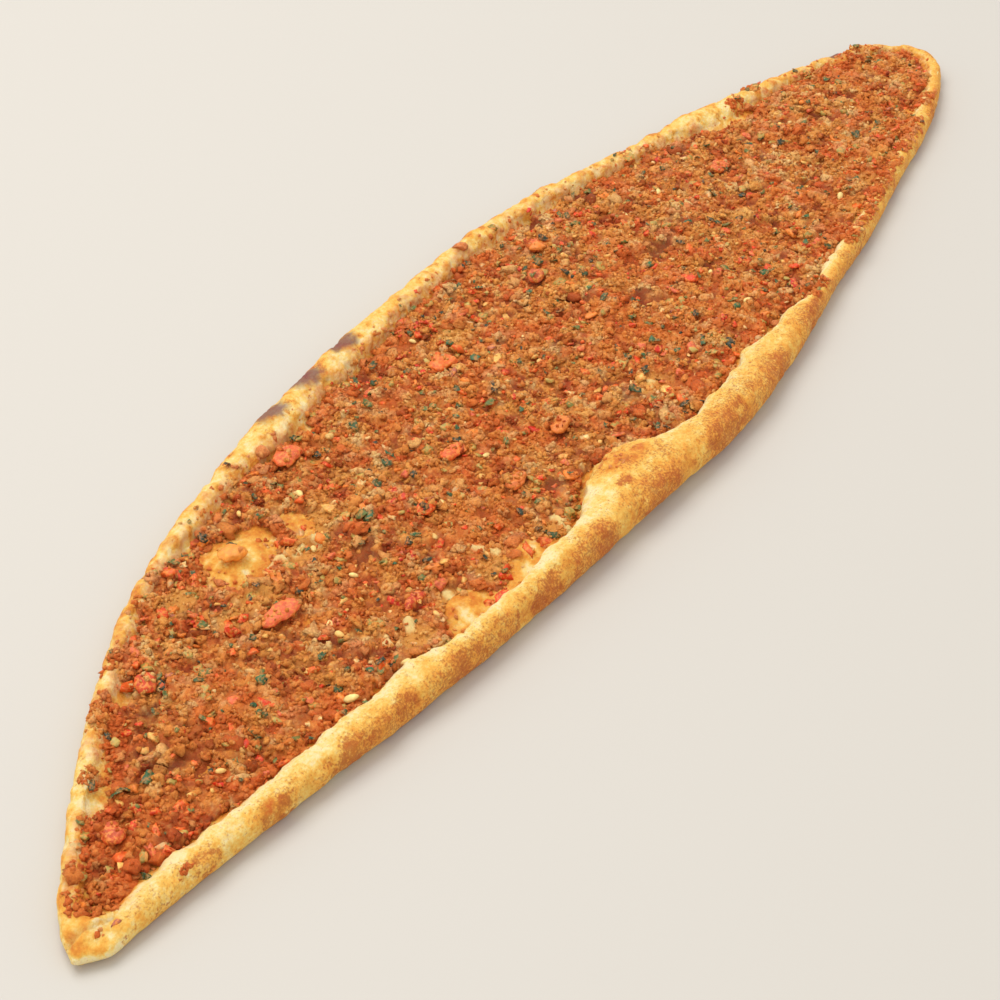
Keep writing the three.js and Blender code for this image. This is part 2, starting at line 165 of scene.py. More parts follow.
BROWNED = [  # patches of thick brown freckles on the near roll: x, y, half length
    (-0.1705, -0.0590, 0.009), (-0.1280, -0.0650, 0.009), (-0.0950, -0.0700, 0.010),
    (-0.0620, -0.0740, 0.014), (-0.0150, -0.0780, 0.016), (0.0300, -0.0740, 0.014),
    (0.0750, -0.0700, 0.014), (-0.2760, -0.0350, 0.006), (-0.2520, -0.0420, 0.006),
    (-0.2200, -0.0500, 0.010), (-0.1960, -0.0520, 0.006), (-0.0684, -0.0613, 0.0040),
]
SCORCHED = [  # small red-brown spots on the near roll: x, y, half length
    (-0.0682, -0.0608, 0.0032), (-0.0941, -0.0686, 0.0045), (-0.1350, -0.0661, 0.0032),
    (-0.1434, -0.0627, 0.0028), (-0.1738, -0.0589, 0.0055), (-0.0560, -0.0560, 0.0030),
    (-0.2200, -0.0490, 0.0045), (-0.2474, -0.0423, 0.0035),
]
STAINS = [  # orange oil and tomato on the near roll, most on its swelling: x, y, half length
    (-0.0590, -0.0480, 0.0035), (-0.0560, -0.0530, 0.0035), (-0.0480, -0.0560, 0.0040),
    (-0.0630, -0.0530, 0.0025), (-0.0540, -0.0580, 0.0022), (-0.2515, -0.0405, 0.0030),
]
SWELLING = (-0.0560, -0.0500, 0.016)  # the near roll's ragged bulge: x, y, half length
FOLD_POCKET = (-0.3175, -0.0290, 0.0095)  # pale dough in the tail's fold: x, y, half length
FOLD_LINE = [(-0.3060, -0.0262), (-0.3110, -0.0238), (-0.3145, -0.0212), (-0.3200, -0.0204)]
FOLD_WIDTH = 1.3 * MM
FOLD_DEPTH = 1.5 * MM
PATCH_WIDTH = 0.7  # of a patch, as a share of its length
PATCH_EDGE = (-1.25, -0.55)  # minus the distances, in half lengths, where it ends and is whole
DOUGH_TONES = [  # from unbaked to hard baked: place on that scale, colour
    (0.0, (248, 227, 170)), (0.2, (247, 216, 134)), (0.42, (245, 196, 94)),
    (0.7, (238, 165, 64)), (1.0, (214, 124, 44)),
]
FRECKLE_TONE = (176, 80, 32)
THIN_OIL_TONE, THICK_OIL_TONE = (246, 180, 54), (206, 84, 24)
# Of scorched spots, and of the painted shade in the fold's groove.
SCORCH_AND_CREASE_SHADE_TONE = (114, 60, 72)
WAVE_FADE, WAVE_STEP = 0.9, 2.1  # how fast finer waves fade, and how much finer each one is


def merged_copy(node):
    """A bmesh of a solid's shape, with its loose triangles joined up."""
    shape = bmesh.new()
    shape.from_mesh(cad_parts[node].data)
    bmesh.ops.remove_doubles(shape, verts=shape.verts, dist=CORNER_GAP)
    return shape


def modified(obj, *modifiers):
    """Applies modifiers, each given as its kind and its settings."""
    for kind, settings in modifiers:
        modifier = obj.modifiers.new(kind.lower(), kind)
        for key, value in settings.items():
            setattr(modifier, key, value)
    bpy.context.view_layer.update()
    finished = bpy.data.meshes.new_from_object(
        obj.evaluated_get(bpy.context.evaluated_depsgraph_get()))
    obj.modifiers.clear()
    old = obj.data
    obj.data = finished
    bpy.data.meshes.remove(old)
    return obj


def points_of(mesh):
    flat = np.empty(len(mesh.vertices) * 3, np.float32)
    mesh.vertices.foreach_get("co", flat)
    return flat.reshape(-1, 3).astype(float)


def normals_of(mesh):
    flat = np.empty(len(mesh.vertices) * 3, np.float32)
    mesh.vertex_normals.foreach_get("vector", flat)
    return flat.reshape(-1, 3).astype(float)


def set_points(mesh, points):
    mesh.vertices.foreach_set("co", points.astype(np.float32).ravel())
    mesh.update()


def cloud(place, octaves=2):
    """A smooth random value about 0, with finer waves on it."""
    return noise.fractal(place, WAVE_FADE, WAVE_STEP, octaves)


def swell(points, size, seed):
    """Smooth random values about 0 at points; size is the length of one swell. Each seed reads
    another part of the same noise."""
    away = Vector((seed * 7.31, seed * 3.77, seed * 5.13))
    return np.array([cloud(Vector(p) / size + away) for p in points])


def ease(values, low, high):
    """0 at low, 1 at high and smooth between."""
    share = np.clip((values - low) / (high - low), 0, 1)
    return share * share * (3 - 2 * share)


def patches(x, y, spots, ragged):
    """1 in the middle of each spot (x, y, half length) and 0 outside, with ragged edges."""
    best = np.zeros_like(x + y)
    for spot_x, spot_y, reach in spots:
        away = np.hypot((x - spot_x) / reach, (y - spot_y) / (PATCH_WIDTH * reach))
        best = np.maximum(best, ease(-away - ragged, *PATCH_EDGE))
    return best


def line_strength(x, y, line, width):
    """1 on a line of points and 0 further off than about its width."""
    best = np.full(x.shape, np.inf)
    for (x0, y0), (x1, y1) in zip(line, line[1:]):
        along = ((x - x0) * (x1 - x0) + (y - y0) * (y1 - y0)) / ((x1 - x0) ** 2 + (y1 - y0) ** 2)
        along = np.clip(along, 0, 1)
        best = np.minimum(best, np.hypot(x - x0 - along * (x1 - x0), y - y0 - along * (y1 - y0)))
    return np.exp(-(best / width) ** 2)


def paint(mesh, name, values):
    """Gives each point of a mesh a value that its material reads."""
    mesh.attributes.new(name, "FLOAT", "POINT").data.foreach_set("value", values.astype(np.float32))


def spine_y(x):
    """The boat's middle line, which bends to the near side at both ends."""
    return (SPINE_MIDDLE - SPINE_BEND * (np.abs(x) / HALF_LENGTH) ** 3) * MM


def outward_of(points):
    """Level directions from the middle line to the edge."""
    x = np.clip(points[:, 0], ROUND_END - HALF_LENGTH, HALF_LENGTH - ROUND_END)
    away = np.stack([points[:, 0] - x, points[:, 1] - spine_y(x), np.zeros(len(x))], 1)
    return away / np.maximum(np.linalg.norm(away, axis=1), 1e-6)[:, None]


def plug(tree, node, sockets):
    """Gives each socket of a shader node a plain value or another node's output."""
    for key, value in sockets.items():
        if isinstance(value, bpy.types.NodeSocket):
            tree.links.new(value, node.inputs[key])
        else:
            node.inputs[key].default_value = value


def add(tree, kind, sockets, **settings):
    """A new shader node of a kind."""
    made = tree.nodes.new("ShaderNode" + kind)
    for key, value in settings.items():
        setattr(made, key, value)
    plug(tree, made, sockets)
    return made


def object_place(tree):
    return add(tree, "TexCoord", {}).outputs["Object"]


def attribute(tree, name, output="Fac"):
    return add(tree, "Attribute", {}, attribute_name=name).outputs[output]


def grainy(tree, place, scale, detail, roughness=0.5, distortion=0):
    """A cloudy pattern from 0 to 1 with about scale clouds to the metre."""
    return add(tree, "TexNoise", {
        "Vector": place, "Scale": scale, "Detail": detail, "Roughness": roughness,
        "Distortion": distortion,
    }).outputs["Fac"]


def ranged(tree, value, low, high, to_low, to_high, **settings):
    """The range from low to high moved to that from to_low to to_high."""
    return add(tree, "MapRange", {
        "Value": value, "From Min": low, "From Max": high, "To Min": to_low, "To Max": to_high,
    }, **settings).outputs["Result"]


def summed(tree, value, factor, other):
    """A value times a factor, plus another value."""
    return add(tree, "Math", {0: value, 1: factor, 2: other},
               operation="MULTIPLY_ADD").outputs["Value"]


def mixed(tree, share, first, second):
    """The first colour with a share of the second."""
    return add(tree, "Mix", {"Factor": share, "A": first, "B": second},
               data_type="RGBA").outputs["Result"]


def relief_of(tree, height, strength, depth):
    """The finest relief of a skin, which only the light shows; depth is in metres."""
    return add(tree, "Bump", {
        "Strength": strength, "Distance": depth, "Height": height,
    }).outputs["Normal"]


def baked_dough():
    """Dough by its bake, then a brown stipple, oil, scorched spots and painted shade in the tail's
    fold, each by its attribute.
    """
    material, tree, surface = material_of("baked_dough", 0.66)
    place = object_place(tree)
    toast, freckled, oil, scorch_and_crease_shade = (
        attribute(tree, name) for name in ("toast", "freckled", "oil", "scorch_and_crease_shade"))
    # The bake, uneven in patches and in fine mottles.
    uneven = ranged(tree, grainy(tree, place, 150, 5, 0.65), 0.3, 0.7, -0.28, 0.3)
    mottle = ranged(tree, grainy(tree, place, 760, 3, 0.65), 0.3, 0.7, -0.2, 0.2)
    baked = summed(tree, summed(tree, toast, 1, uneven), 1, mottle)
    crumb = add(tree, "ValToRGB", {"Fac": baked})
    for position, _ in DOUGH_TONES[1:-1]:
        crumb.color_ramp.elements.new(position)
    for stop, (_, tone) in zip(crumb.color_ramp.elements, DOUGH_TONES):
        stop.color = colour(*tone)
    # Freckles: a fine stipple that gathers in clouds and is as thick as the bake is hard.
    dots = grainy(tree, place, 1250, 2, 0.6)
    thick = summed(tree, freckled, 0.55, dots)
    thick = summed(tree, grainy(tree, place, 280, 3, 0.6), 0.65, thick)
    thick = summed(tree, dots, 0.55, thick)
    freckle = ranged(tree, thick, 1.26, 1.74, 0, 0.72, interpolation_type="SMOOTHSTEP")
    brown = mixed(tree, freckle, crumb.outputs["Color"], colour(*FRECKLE_TONE))
    # Oil, orange where its film is thin and red-brown where it is thick.
    soaked = ranged(tree, grainy(tree, place, 420, 3, 0.6), 0.3, 0.7, 0.45, 1.15)
    film = summed(tree, oil, soaked, 0)
    oily = mixed(tree, film, colour(*THIN_OIL_TONE), colour(*THICK_OIL_TONE))
    stained = mixed(tree, film, brown, oily)
    # A skin with shallow dimples and fine pores.
    skin = summed(tree, grainy(tree, place, 190, 2), 1.2, grainy(tree, place, 620, 5, 0.7))
    plug(tree, surface, {
        "Base Color": mixed(tree, scorch_and_crease_shade, stained, colour(*SCORCH_AND_CREASE_SHADE_TONE)),
        "Normal": relief_of(tree, skin, 0.75, 0.0016),
        "Roughness": ranged(tree, oil, 0, 1, 0.66, 0.5),
        "Specular IOR Level": 0.3,
        "Subsurface Weight": 0.12,
        "Subsurface Radius": (0.004, 0.0022, 0.001),
        "Subsurface Scale": 0.6,
    })
    return material


crust = modified(
    placed("crust_dough", merged_copy("crust"), baked_dough()),
    ("REMESH", {"mode": "VOXEL", "voxel_size": DOUGH_GRAIN}),
    ("SMOOTH", {"factor": 0.5, "iterations": 9}),
)
crust.data.shade_smooth()
points = points_of(crust.data)
normals = normals_of(crust.data)
outward = outward_of(points)
facing = (normals * outward).sum(1)  # 1 on the boat's outer side, -1 on the side to the mince
height = points[:, 2]
near = points[:, 1] < spine_y(points[:, 0])
puff = swell(points, 21 * MM, 1)
knead = swell(points, 7 * MM, 2)
wrinkle = swell(points, 3.2 * MM, 3)

# Hands and oven leave swells, dents and wrinkles, most on the ragged bulge and least on the base.
free = ease(height, *FOOT) * (1 - 0.75 * ease(height, *CREST))
free *= np.where(height < BASE_TOP, 0.4, 1)
ragged = patches(points[:, 0], points[:, 1], [SWELLING], 0)
hollow = np.where(near, 0.4, 0.6) * ease(knead, -0.1, -0.6)
lift = 0.6 * puff + 0.65 * np.maximum(knead, -0.4) + (0.34 + 0.4 * ragged) * wrinkle
lift = lift - hollow - 0.12
points += normals * (free * lift * MM)[:, None]

# The rolls' inner edge wanders, and the tail has a groove where it was folded.
inner = ease(-facing, 0.1, 0.7) * ease(height, BASE_TOP, 9 * MM)
points += outward * (inner * (1.2 + 1.4 * ragged) * MM * swell(points, 6 * MM, 4))[:, None]
fold = line_strength(points[:, 0], points[:, 1], FOLD_LINE, FOLD_WIDTH) * (height > 5 * MM)
points -= normals * (FOLD_DEPTH * fold)[:, None]
points = np.clip(points, cad_low, cad_high)
set_points(crust.data, points)

# How hard it is baked: most outside, in blotches on the far roll, least at the tail and its fold.
x, y = points[:, 0], points[:, 1]
tail = ease(-x, *TAIL)
floor = (normals[:, 2] > 0.6) * ease(-height, -8.5 * MM, -BASE_TOP)
under = normals[:, 2] < -0.6
blotch = ease(swell(points, 5 * MM, 6) + 0.4 * wrinkle, 0.1, 0.55)
outer = ease(facing + 0.2 * puff + 0.1 * knead + 0.3 * ease(x, -0.09, -0.05), -0.7, 0.9)
browned = patches(x, y, BROWNED, 0.6 * wrinkle + 0.3 * knead) * ease(facing, -0.2, 0.35)
spotted = patches(x, y, SCORCHED, 0.7 * wrinkle) * near
pocket = patches(x, y, [FOLD_POCKET], 0.2 * knead)
toast = np.where(near, 0.56 * outer + 0.07, 0.06 + 0.34 * outer + 0.42 * blotch)
toast = toast * (1 - 0.35 * tail) + 0.12 * browned + 0.3 * ragged + 0.04 * ease(x, *NOSE)
toast = np.maximum(toast, 0.8 * spotted)
toast = toast * (1 - pocket)
toast = np.where(floor > 0.3, 0.48 + 0.5 * knead + 0.35 * wrinkle, toast)
toast = np.where(under, 0.55 + 0.3 * puff + 0.2 * knead, toast)

# Brown freckles: thick outside, on the patches and underneath; none on the base or in the fold.
freckled = 0.12 + 0.62 * outer * ease(puff + 0.7 * knead, -0.7, 0.5)
freckled = np.where(near, freckled, 0.55 * blotch)
freckled = np.maximum(freckled * (1 - 0.3 * tail), 0.85 * browned)
freckled = np.maximum(freckled, np.maximum(1.1 * spotted, 0.45 * ragged))
freckled = freckled * (1 - floor) * (1 - pocket)
freckled = np.where(under, ease(knead + puff, -0.2, 0.8), freckled)

# Orange oil on the base and in stains; scorched blisters and far edge; painted shade in the fold.
oil = np.maximum(0.75 * floor * ease(knead + 0.5 * wrinkle, -0.7, 0.5),
                 patches(x, y, STAINS, 0.5 * wrinkle))
scorch_and_crease_shade = patches(x, y, BLISTERS, 0.35 * wrinkle) * (height > 4 * MM)
# Painted shade in the groove of the tail's fold, in the scorch tone.
scorch_and_crease_shade = np.maximum(scorch_and_crease_shade, 0.35 * fold)
rim_line = (1 - near) * ease(facing, 0.45, 0.85) * ease(x, 0.02, 0.08) * (1 - ease(x, 0.27, 0.3))
rim_line = 0.7 * rim_line * ease(puff + 0.6 * knead, -0.3, 0.3) * (height > 2 * MM)
scorch_and_crease_shade = np.maximum(scorch_and_crease_shade, rim_line)
paint(crust.data, "toast", toast)
paint(crust.data, "freckled", freckled)
paint(crust.data, "scorch_and_crease_shade", 0.85 * scorch_and_crease_shade)
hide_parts("crust")
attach(crust, "root")

# ---- The layer of mince --------------------------------------------------------------------------
# Lamb mince cooked soft with tomato paste and oil, spread in a thin layer over the dough. It breaks
# into clods with cracks between them, and thins out towards the bare spots.
CELL = 0.5 * MM  # of the map of heights that everything in the filling is laid on
MAP_X = np.arange(-0.330, 0.3301, CELL)
MAP_Y = np.arange(-0.085, 0.0851, CELL)
GRID_X, GRID_Y = MAP_X[:, None], MAP_Y[None, :]
ABOVE = Vector((0, 0, 0.05))  # from the table to a place higher than all of the pide
FLOOR = 4.5 * MM  # top of the dough's base
ROLL_FOOT = 8.2 * MM  # dough that is higher than this backs the mince up
CORE_DEPTH = 1.5 * MM  # how far the body of the layer lies under its loose crumbs
CORE_GRAIN = 0.9 * MM
CORE_FOOT = FLOOR - 1.2 * MM  # the layer's own underside, a little inside the dough
PEBBLES = 18000  # crumbs that are part of the layer's body
PEBBLE_REACH = (0.32, 0.078)  # half the length and width over which they lie
CLOD = 6.5 * MM  # usual width of a clod
CLOD_WAVE = 4.5 * MM  # of the waves in a clod's outline
CRACK_DRIFT = 16 * MM  # over about this far a crack opens and closes
MINCE_TONES = [(148, 58, 18), (224, 124, 52), (250, 172, 82), (252, 210, 138)]  # dark to light
SOAKED_TONE = (234, 98, 40)  # of mince soaked in tomato
THIN_TONE = (255, 190, 98)  # of dough and oil that show through the thinnest mince
GOLDEN_TONE = (246, 170, 78)  # of mince with onion and green pepper in it
PALE_TONE = (250, 192, 116)  # of fat, and of onion cooked to crumbs
PALE_SHARE = 0.1  # of all grains
# Painted shade, a dark red-brown, in the layer's cracks and between its grains.
CREVICE_SHADE_TONE = (112, 40, 14)  # in cracks and between grains
WET_TONE = (240, 122, 44)  # of patches that tomato has run into
# Painted shade in the hollows and painted highlight on the tops of a grain's skin, by the same
# pattern as its relief.
PORE_SHADE_TONE, TIP_HIGHLIGHT_TONE = (176, 78, 28), (248, 184, 102)  # of the hollows and tops in a grain's skin
BARE_TONE = (252, 178, 80)  # of the thin spots in the layer's body
RIDGE_TONE = (250, 222, 148)
THIN_SPOTS = [  # places where the layer is thinnest: x, y, half length
    (-0.0948, -0.0490, 0.009), (-0.1189, -0.0409, 0.009), (-0.1420, -0.0372, 0.007),
    (-0.1649, -0.0380, 0.007), (-0.1326, 0.0254, 0.009), (-0.1451, 0.0190, 0.008),
    (-0.1737, 0.0172, 0.008), (-0.0061, 0.0457, 0.007), (0.0020, -0.0355, 0.008),
    (0.2140, -0.0450, 0.008), (0.1872, -0.0480, 0.008), (0.1638, -0.0530, 0.007),
    (-0.1880, 0.0395, 0.007), (-0.1871, 0.0203, 0.006), (0.0472, 0.0273, 0.004),
    (-0.0776, -0.0500, 0.005), (0.1333, -0.0120, 0.006),
]
CRACKS = [  # long cracks that run round the clods: x, y from point to point
    [(-0.2200, 0.0205), (-0.2233, 0.0190), (-0.2293, 0.0157), (-0.2333, 0.0167),
     (-0.2408, 0.0187)],
    [(-0.2333, -0.0039), (-0.2331, 0.0000), (-0.2361, 0.0053), (-0.2399, 0.0041),
     (-0.2451, 0.0018), (-0.2508, -0.0001), (-0.2563, 0.0006), (-0.2624, 0.0009)],
]
CRACK_WIDTH = 0.8 * MM
RIDGES = [  # low ridges of pale dough that stand out of the mince: x, y from point to point
    [(-0.1287, 0.0355), (-0.1331, 0.0293), (-0.1366, 0.0219), (-0.1405, 0.0165)],
    [(-0.1437, 0.0220), (-0.1496, 0.0202)],
    [(-0.1541, 0.0208), (-0.1539, 0.0254), (-0.1593, 0.0252), (-0.1618, 0.0271)],
    [(-0.1167, -0.0297), (-0.1139, -0.0368)],
    [(-0.1466, -0.0449), (-0.1416, -0.0377), (-0.1406, -0.0327)],
    [(-0.1572, -0.0285), (-0.1631, -0.0338)],
    [(-0.0053, -0.0339), (-0.0023, -0.0347)],
    [(0.0034, -0.0343), (0.0044, -0.0355)],
    [(-0.0025, -0.0440), (-0.0027, -0.0452)],
    [(-0.0872, -0.0439), (-0.0911, -0.0521)],
]
RIDGE_WIDTH = 1.5 * MM
RIDGE_HEIGHT = 1.2 * MM
noise.seed_set(4)  # keeps what noise_vector gives the same in each run


def mapped(value_at, step):
    """A map filled by a rule, worked out at every step-th cell."""
    rough = np.array([[value_at(Vector((x, y, 0))) for y in MAP_Y[::step]] for x in MAP_X[::step]])
    return np.repeat(np.repeat(rough, step, 0), step, 1)[:len(MAP_X), :len(MAP_Y)]


def seen_from_above(shape):
    """The map of a bmesh's heights, 0 where it has none. The bmesh is used up."""
    tree = BVHTree.FromBMesh(shape)
    shape.free()

    def top_at(place):
        hit = tree.ray_cast(place + ABOVE, Vector((0, 0, -1)))[0]
        return hit.z if hit else 0

    return mapped(top_at, 2)


def blurred(field, reach):
    """A map softened over about this reach, by three passes of a plain mean."""
    count = max(1, round(reach / CELL))
    for _ in range(3):
        for axis in (0, 1):
            rolled = [np.roll(field, shift, axis) for shift in range(-count, count + 1)]
            field = sum(rolled) / len(rolled)
    return field


def on_map(field, x, y):
    """The map's value at places x, y."""
    # Each place is kept a little short of the last cell's corner, so that it has a next one.
    u = np.clip((x - MAP_X[0]) / CELL, 0, len(MAP_X) - 1.001)
    v = np.clip((y - MAP_Y[0]) / CELL, 0, len(MAP_Y) - 1.001)
    i, j = np.floor(u).astype(int), np.floor(v).astype(int)
    u, v = u - i, v - j
    near_row = field[i, j] * (1 - v) + field[i, j + 1] * v
    far_row = field[i + 1, j] * (1 - v) + field[i + 1, j + 1] * v
    return near_row * (1 - u) + far_row * u


def raise_map(field, x, y, foot, reach, rise):
    """Lays a round-topped grain on the map: it stands on foot and rises by rise."""
    i0, i1 = np.searchsorted(MAP_X, (x - reach, x + reach))
    j0, j1 = np.searchsorted(MAP_Y, (y - reach, y + reach))
    across = ((MAP_X[i0:i1] - x) / reach) ** 2
    along = ((MAP_Y[j0:j1] - y) / reach) ** 2
    dome = 1 - across[:, None] - along[None, :]
    grain = np.where(dome > 0, foot + rise * np.sqrt(np.maximum(dome, 0)), 0)
    field[i0:i1, j0:j1] = np.maximum(field[i0:i1, j0:j1], grain)


def clod_at(place):
    """How high a clod stands here, from 1 in its middle, and how open the crack round it is."""
    bent = place / CLOD + 0.45 * noise.noise_vector(place / CLOD_WAVE)
    reach = noise.voronoi(bent)[0]
    crack = 1 - min(1, (reach[1] - reach[0]) / 0.2)
    crack *= min(1, max(0, 0.45 + 1.6 * noise.noise(place / CRACK_DRIFT)))
    return 1 - reach[0] ** 2, crack


# Where the mince lies, and how high the body of its layer is. It thins towards an open edge, and
# keeps its depth where a roll of dough backs it up.
whole = bmesh.new()
whole.from_mesh(crust.data)
dough_top = seen_from_above(whole)
solid_top = seen_from_above(merged_copy("mince_filling"))
covered = (solid_top > 0).astype(float)
roll = ((dough_top > ROLL_FOOT) & (covered == 0)).astype(float)
spread = blurred(covered, 1.2 * MM)
backed = blurred(np.maximum(covered, roll), 2.5 * MM)
layer_top = blurred(solid_top, 2 * MM) / np.maximum(blurred(covered, 2 * MM), 1e-3)
thinning = ease(backed, 0.3, 0.95) * ease(blurred(np.maximum(covered, roll), MM), 0.4, 0.85)
layer_top = FLOOR + (np.clip(layer_top, FLOOR, None) - FLOOR - CORE_DEPTH) * thinning
full = ease(spread, 0.5, 1)

# Clods and cracks, and four maps of unevenness: of heaps, of the layer, of its edges, of its sauce.
clods = mapped(clod_at, 1)
bulge, crack = blurred(clods[..., 0], CELL), blurred(clods[..., 1], CELL)
wild = mapped(lambda place: cloud(place / (7 * MM)), 4)
swollen = mapped(lambda place: noise.noise(place / (19 * MM)), 4)
fray = mapped(lambda place: cloud(place / (2.6 * MM)), 2)
stew = mapped(lambda place: cloud(place / (9 * MM) + Vector((5, 9, 1)), 3), 2)
for line in CRACKS:
    strength = line_strength(GRID_X + 0.9 * MM * fray, GRID_Y + 0.9 * MM * wild, line, CRACK_WIDTH)
    crack = np.maximum(crack, strength)
reached = blurred(covered, 2.5 * MM) + 0.3 * fray + 0.3 * wild
kept = np.where(backed > 0.9, spread > 0.04, (spread > 0.1) & (reached > 0.55)).astype(float)
layer_top += (2.0 * (bulge - 0.6) + 1.3 * swollen - 2.1 * crack) * full * MM

# The crumbs in the layer's body, its thin spots and its ridges.
draw = np.random.default_rng(3)
core_top = layer_top.copy()
half_x, half_y = PEBBLE_REACH
for x, y in zip(draw.uniform(-half_x, half_x, PEBBLES), draw.uniform(-half_y, half_y, PEBBLES)):
    reach = draw.uniform(0.8, 1.8) * MM
    foot = on_map(layer_top, x, y)
    raise_map(core_top, x, y, foot - 0.2 * reach, reach, draw.uniform(0.3, 0.8) * reach)
thin = patches(GRID_X, GRID_Y, THIN_SPOTS, 0.4 * fray + 0.3 * wild - 0.15) * (covered > 0)
core_top = np.maximum(core_top - 0.8 * thin * MM, FLOOR)
ridge = np.zeros_like(core_top)
for line in RIDGES:
    strength = line_strength(GRID_X + 1.1 * MM * fray, GRID_Y + 1.1 * MM * wild, line, RIDGE_WIDTH)
    ridge = np.maximum(ridge, strength)
core_top += RIDGE_HEIGHT * ridge
sauced = ease(1 - blurred(covered, 6 * MM), 0.04, 0.35)

# Orange oil runs out of the mince over the dough beside it, furthest over the flat far roll.
x, y = points[:, 0], points[:, 1]
beside = on_map(blurred(covered, 5 * MM), x, y) + 0.3 * knead + 0.25 * wrinkle
run = ease(beside, 0.0, 0.45) * ease(normals[:, 2], -0.1, 0.3)
low_rim = np.maximum(ease(-height, -10.5 * MM, -6.5 * MM), 0.55 * ease(x, 0.1, 0.16))
run *= np.where(near, 0.8 * low_rim, 0.85)
paint(crust.data, "oil", 0.9 * np.maximum(oil, run))


def tinted(mesh, paints):
    """Gives each point of a mesh its own colour."""
    tint = mesh.attributes.new("tint", "FLOAT_COLOR", "POINT")
    tint.data.foreach_set("color", np.asarray(paints, np.float32).ravel())


def mince_paints(spots, uneven):
    """Tones that drift slowly over the mince, so that grains which lie together look alike. Clods
    have a painted highlight, lighter on top; the tail is darker, and no grain is dark where it
    lies on bare dough."""
    x, y = np.array(spots).T
    draw = np.random.default_rng(len(x))
    light = 0.56 + on_map(0.5 * fray + 0.75 * wild + 0.5 * swollen, x, y)
    light += draw.normal(0, uneven, len(x))
    # Painted highlight on the clods, lighter towards their raised middles.
    light += 0.65 * (on_map(bulge, x, y) - 0.75) - 0.4 * ease(-x, 0.22, 0.28)
    light = np.maximum(light, 0.42 * (1 - on_map(kept, x, y)))
    steps = np.linspace(0, 1, len(MINCE_TONES))
    tones = np.array([colour(*tone) for tone in MINCE_TONES])
    paints = np.stack([np.interp(light, steps, tones[:, c]) for c in range(4)], 1)
    hue = on_map(stew + 0.3 * swollen + 0.35 * sauced, x, y) + draw.normal(0, uneven, len(x))
    for tone, share in (
        (SOAKED_TONE, 0.6 * ease(hue, 0.05, 0.5)),
        (GOLDEN_TONE, 0.6 * ease(-hue, 0, 0.4)),
        (THIN_TONE, 0.7 * on_map(thin, x, y)),
        (PALE_TONE, 0.45 * (draw.random(len(x)) < PALE_SHARE)),
    ):
        paints += (np.array(colour(*tone)) - paints) * share[:, None]
    return paints


def oily_mince():
    """Cooked mince: rough grains with painted shade in their pores and cracks, a painted
    highlight on their tops, and redder where tomato has soaked in.
    """
    material, tree, surface = material_of("oily_mince", 0.5)
    place = object_place(tree)
    grain = grainy(tree, place, 850, 5, 0.7)
    mix = attribute(tree, "tint", "Color")
    for share, tone in (
        # Painted shade in the cracks and between the grains.
        (attribute(tree, "crevice_shade"), CREVICE_SHADE_TONE),
        (ranged(tree, grainy(tree, place, 42, 3), 0.45, 0.68, 0, 0.5), WET_TONE),
        # Painted shade in the hollows of the skin's relief and painted highlight on its tops.
        (ranged(tree, grain, 0.34, 0.56, 0.55, 0), PORE_SHADE_TONE),
        (ranged(tree, grain, 0.56, 0.74, 0, 0.4), TIP_HIGHLIGHT_TONE),
        (attribute(tree, "bare"), BARE_TONE),
        (attribute(tree, "ridge"), RIDGE_TONE),
    ):
        mix = mixed(tree, share, mix, colour(*tone))
    plug(tree, surface, {
        "Base Color": mix,
        "Normal": relief_of(tree, grain, 0.9, 0.0014),
        "Specular IOR Level": 0.22,
        "Coat Weight": 0.03,
        "Coat Roughness": 0.3,
        "Subsurface Weight": 0.1,
        "Subsurface Radius": (0.003, 0.0014, 0.0006),
        "Subsurface Scale": 0.5,
    })
    return material


shape = bmesh.new()
columns = round((MAP_X[-1] - MAP_X[0]) / CORE_GRAIN)
rows = round((MAP_Y[-1] - MAP_Y[0]) / CORE_GRAIN)
bmesh.ops.create_grid(shape, x_segments=columns, y_segments=rows, size=1)
bmesh.ops.scale(shape, vec=(MAP_X[-1], MAP_Y[-1], 1), verts=shape.verts)
x, y = np.array([v.co[:2] for v in shape.verts]).T
for vertex, z in zip(shape.verts, on_map(core_top, x, y)):
    vertex.co.z = z
unused = [v for v, share in zip(shape.verts, on_map(kept, x, y)) if share <= 0.5]
bmesh.ops.delete(shape, geom=unused, context="VERTS")
bmesh.ops.delete(shape, geom=[v for v in shape.verts if not v.link_faces], context="VERTS")
rim_edges = [e for e in shape.edges if e.is_boundary]
skirt = bmesh.ops.extrude_edge_only(shape, edges=rim_edges)["geom"]
for vertex in [g for g in skirt if isinstance(g, bmesh.types.BMVert)]:
    vertex.co.z = CORE_FOOT
foot_edges = [e for e in shape.edges if e.is_boundary]
bmesh.ops.triangle_fill(shape, use_beauty=False, edges=foot_edges, normal=(0, 0, -1))
bmesh.ops.recalc_face_normals(shape, faces=shape.faces)
mince = oily_mince()
core = placed("mince_layer", shape, mince)
spots = points_of(core.data)[:, :2]
cracked = on_map(crack * full, *spots.T)
valley = on_map(1 - ease(core_top - layer_top, 0, 0.5 * MM), *spots.T)
tinted(core.data, mince_paints(spots, 0.05))
# Painted shade in the cracks and in the low ground between the layer's crumbs.
paint(core.data, "crevice_shade", np.maximum(0.9 * ease(cracked, 0.15, 0.6), 0.5 * valley))
paint(core.data, "bare", 0.45 * on_map(thin, *spots.T))
paint(core.data, "ridge", 0.9 * ease(on_map(ridge, *spots.T), 0.2, 0.8))
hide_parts("mince_filling")
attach(core, "root")

